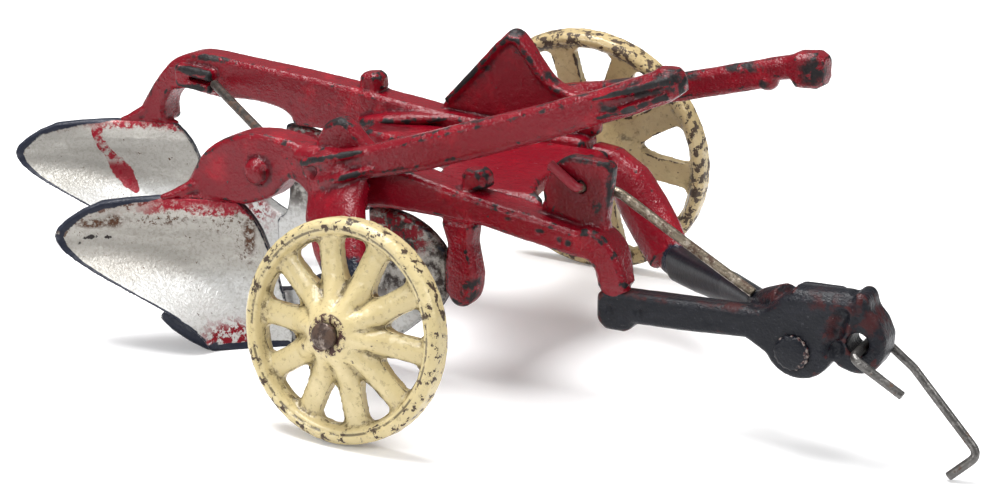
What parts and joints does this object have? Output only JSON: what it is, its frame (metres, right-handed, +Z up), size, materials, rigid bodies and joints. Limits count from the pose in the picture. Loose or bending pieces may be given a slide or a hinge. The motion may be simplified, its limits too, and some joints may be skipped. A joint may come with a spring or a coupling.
{
  "type": "toy two-bottom plow",
  "caption": "Cast iron toy plow with two bottoms, spoked cream wheels, lever handles, black drawbar and a swinging wire hook.",
  "frame": {"origin": "middle of the footprint, on the floor, under the bounding box's centre", "axes": "+X forward to the hitch, +Y to the plow's left, +Z up"},
  "size_m": [0.2122, 0.1076, 0.0611],
  "materials": {
    "red_paint": "glossy crimson paint over cast iron, worn to grey-black on the edges",
    "aluminium_paint": "aluminium paint over cast iron, with rust and dark chips",
    "cream_paint": "cream paint over cast iron, chipped dark along the rims",
    "black_paint": "blue-black paint, rubbed through to rusty red",
    "bare_steel": "dull grey-brown steel"
  },
  "bodies": {
    "frame": {"brace_clip": "red_paint", "brace_rivet": "red_paint", "brace_rod": "bare_steel", "cross_plate": "red_paint", "hitch_cheek": "black_paint", "hitch_rivet": "black_paint", "left_axle_pin": "bare_steel", "left_beam": "red_paint", "left_beam_stud": "red_paint", "left_coulter": "aluminium_paint", "left_coulter_leg": "red_paint", "left_drawbar": "black_paint", "left_front_arm": "red_paint", "left_landside": "aluminium_paint", "left_lever": "red_paint", "left_moldboard": "aluminium_paint", "left_wheel_leg": "red_paint", "lever_ear": "red_paint", "lift_rod": "bare_steel", "right_axle_pin": "bare_steel", "right_beam": "red_paint", "right_beam_stud": "red_paint", "right_coulter": "aluminium_paint", "right_coulter_leg": "red_paint", "right_drawbar": "black_paint", "right_landside": "aluminium_paint", "right_lever": "red_paint", "right_moldboard": "aluminium_paint", "right_wheel_leg": "red_paint", "rod_plate": "red_paint", "wheel_bracket": "red_paint"},
    "right_wheel_body": {"right_wheel": "cream_paint"},
    "left_wheel_body": {"left_wheel": "cream_paint"},
    "hook_body": {"wire_hook": "bare_steel"}
  },
  "joints": [
    {"name": "right_wheel_spin", "type": "hinge", "parent": "frame", "child": "right_wheel_body", "pos_m": [0.00978, -0.04685, 0.01858], "axis": [0, -0.9848, 0.1736], "continuous": true},
    {"name": "left_wheel_spin", "type": "hinge", "parent": "frame", "child": "left_wheel_body", "pos_m": [0.00746, 0.04686, 0.02553], "axis": [0, 0.9877, 0.1564], "continuous": true},
    {"name": "hook_swing", "type": "hinge", "parent": "frame", "child": "hook_body", "pos_m": [0.08725, -0.01642, 0.02038], "axis": [0, -1, 0], "range_deg": [-40, 80]}
  ]
}
